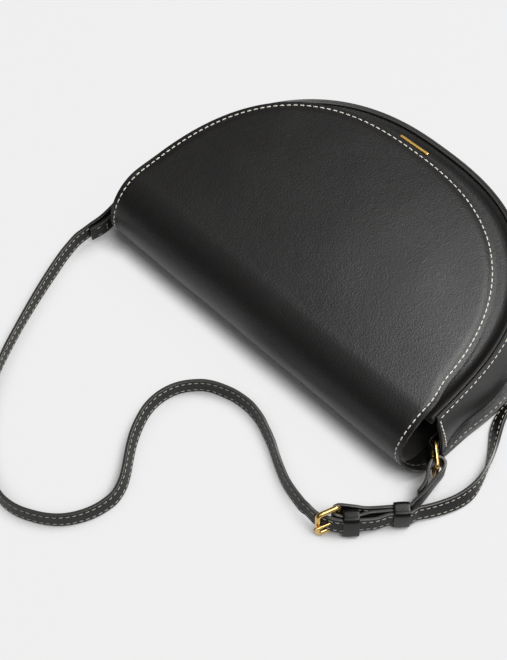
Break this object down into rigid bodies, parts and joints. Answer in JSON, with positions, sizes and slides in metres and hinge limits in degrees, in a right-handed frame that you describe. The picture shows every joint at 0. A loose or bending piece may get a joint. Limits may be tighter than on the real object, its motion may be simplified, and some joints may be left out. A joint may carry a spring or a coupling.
{
  "type": "half moon bag",
  "caption": "Small half moon shoulder bag in black leather with a rolled fold-over flap, gusset, front bar and a narrow buckled strap on rings.",
  "frame": {"origin": "on the outer face of the flat back, half way along the bag's width and half way between the roll and the far end of the back; the back lies on z = 0", "axes": "+X along the roll towards the buckled end of the strap, +Y from the roll towards the rounded end of the flap, +Z from the back to the flap"},
  "size_m": [0.3143, 0.3745, 0.057],
  "materials": {
    "leather": "fine-grained, semi-matt black",
    "lining": "plain dark lining",
    "board": "stiff fibre board, unfinished",
    "gold": "polished, gold coloured"
  },
  "bodies": {
    "bag": {"back_panel": "leather", "back_board": "board", "back_lining": "lining", "gusset": "leather", "gusset_lining": "lining", "front_panel": "leather", "front_lining": "lining", "front_bar": "gold", "snap_socket": "gold", "ring_tab_left": "leather", "ring_tab_right": "leather", "shoulder_strap": "leather", "buckle_strap": "leather", "buckle_frame": "gold", "keeper_fixed": "leather"},
    "flap": {"flap_panel": "leather", "flap_lining": "lining", "flap_board": "board", "snap_stud": "gold"},
    "left_ring": {"ring_left": "gold"},
    "right_ring": {"ring_right": "gold"},
    "prong": {"buckle_prong": "gold"},
    "loose_keeper": {"keeper_sliding": "leather"}
  },
  "joints": [
    {"name": "flap_fold", "type": "hinge", "parent": "bag", "child": "flap", "pos_m": [0, -0.097, 0.027], "axis": [1, 0, 0], "range_deg": [0, 140]},
    {"name": "ring_left_turn", "type": "hinge", "parent": "bag", "child": "left_ring", "pos_m": [-0.1274, -0.064, 0.0136], "axis": [0, 0, 1], "range_deg": [-1, 1]},
    {"name": "ring_right_turn", "type": "hinge", "parent": "bag", "child": "right_ring", "pos_m": [0.1346, -0.0697, 0.0136], "axis": [0, 0, 1], "range_deg": [-3, 3]},
    {"name": "prong_turn", "type": "hinge", "parent": "bag", "child": "prong", "pos_m": [0.12285, -0.14322, 0.0095], "axis": [-0.211, 0.2024, 0.9563], "range_deg": [0, 4]},
    {"name": "keeper_slide", "type": "slide", "parent": "bag", "child": "loose_keeper", "axis": [0.6923, 0.7216, 0], "range_m": [-0.0025, 0]}
  ]
}
